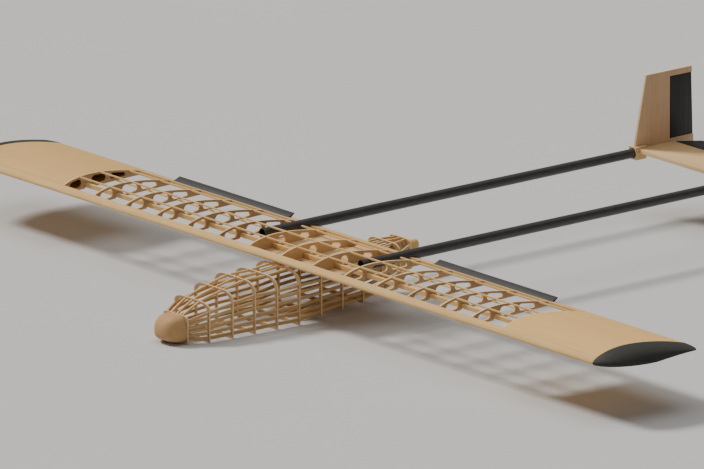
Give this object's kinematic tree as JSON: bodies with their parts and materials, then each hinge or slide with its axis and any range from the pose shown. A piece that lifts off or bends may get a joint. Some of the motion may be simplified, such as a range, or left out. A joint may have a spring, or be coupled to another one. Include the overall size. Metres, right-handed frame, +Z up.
{
  "type": "twin-boom model aircraft airframe",
  "caption": "Uncovered balsa airframe of a twin-boom model aircraft: ribbed wing, stringer pod, tube booms, and hinged ailerons, elevator and rudders.",
  "frame": {"origin": "middle of the flat belly edge of the pod former under the wing's leading edge", "axes": "+X to port along the wing span, +Y aft towards the tail, +Z up"},
  "size_m": [1.5, 1.1088, 0.208],
  "materials": {
    "stick_balsa": "raw sanded balsa strip, pale tan with a fine straight grain",
    "rib_balsa": "raw cut balsa sheet with a slightly darker cut edge",
    "block_balsa": "raw sanded balsa block, carved round",
    "dark_panel": "dark charcoal stained and sealed wood, dull sheen",
    "boom_tube": "satin black fibre tube",
    "hinge_wire": "bare spring wire"
  },
  "bodies": {
    "airframe": {"rib_centre": "rib_balsa", "rib_port_1": "rib_balsa", "rib_port_2": "rib_balsa", "rib_port_3": "rib_balsa", "rib_port_4": "rib_balsa", "rib_port_5": "rib_balsa", "rib_port_6": "rib_balsa", "rib_port_7": "rib_balsa", "rib_starboard_1": "rib_balsa", "rib_starboard_2": "rib_balsa", "rib_starboard_3": "rib_balsa", "rib_starboard_4": "rib_balsa", "rib_starboard_5": "rib_balsa", "rib_starboard_6": "rib_balsa", "rib_starboard_7": "rib_balsa", "leading_edge": "stick_balsa", "main_spar": "stick_balsa", "wing_stringer_front": "stick_balsa", "wing_stringer_mid": "stick_balsa", "wing_stringer_rear_centre": "stick_balsa", "wing_stringer_rear_port": "stick_balsa", "wing_stringer_rear_starboard": "stick_balsa", "centre_floor": "stick_balsa", "trailing_edge_centre": "stick_balsa", "trailing_edge_port": "stick_balsa", "trailing_edge_starboard": "stick_balsa", "outer_panel_port": "stick_balsa", "outer_panel_starboard": "stick_balsa", "tip_cap_port": "dark_panel", "tip_cap_starboard": "dark_panel", "aileron_hinge_wire_port": "hinge_wire", "aileron_hinge_wire_starboard": "hinge_wire", "tail_boom_port": "boom_tube", "tail_boom_starboard": "boom_tube", "boom_socket_port": "stick_balsa", "boom_socket_starboard": "stick_balsa", "fin_port": "stick_balsa", "fin_starboard": "stick_balsa", "rudder_pin_port": "hinge_wire", "rudder_pin_starboard": "hinge_wire", "stabiliser": "stick_balsa", "elevator_hinge_wire": "hinge_wire", "nose_block": "block_balsa", "pod_stringer_cage": "stick_balsa", "pod_former_01": "stick_balsa", "pod_former_02": "stick_balsa", "pod_former_03": "stick_balsa", "pod_former_04": "stick_balsa", "pod_former_05": "stick_balsa", "pod_former_06": "stick_balsa", "pod_former_07": "stick_balsa", "pod_former_08": "stick_balsa", "pod_former_09": "stick_balsa", "pod_former_10": "stick_balsa", "motor_boss": "stick_balsa"},
    "aileron_port": {"aileron_port": "dark_panel"},
    "aileron_starboard": {"aileron_starboard": "dark_panel"},
    "rudder_port": {"rudder_port": "dark_panel"},
    "rudder_starboard": {"rudder_starboard": "dark_panel"},
    "elevator": {"elevator": "dark_panel"}
  },
  "joints": [
    {"name": "aileron_port_hinge", "type": "hinge", "parent": "airframe", "child": "aileron_port", "pos_m": [0.166, 0.1557, 0.08754], "axis": [1, 0, 0], "range_deg": [-60, 0]},
    {"name": "aileron_starboard_hinge", "type": "hinge", "parent": "airframe", "child": "aileron_starboard", "pos_m": [-0.166, 0.1557, 0.08754], "axis": [1, 0, 0], "range_deg": [-60, 0]},
    {"name": "rudder_port_hinge", "type": "hinge", "parent": "airframe", "child": "rudder_port", "pos_m": [0.113, 0.8415, 0.104], "axis": [0, 0, 1], "range_deg": [-25, 25]},
    {"name": "rudder_starboard_hinge", "type": "hinge", "parent": "airframe", "child": "rudder_starboard", "pos_m": [-0.113, 0.8415, 0.104], "axis": [0, 0, 1], "range_deg": [-25, 25]},
    {"name": "elevator_hinge", "type": "hinge", "parent": "airframe", "child": "elevator", "pos_m": [0, 0.849, 0.096], "axis": [1, 0, 0], "range_deg": [-20, 20]}
  ],
  "couplings": [
    {"joint": "rudder_starboard_hinge", "follows": "rudder_port_hinge", "ratio": 1}
  ]
}
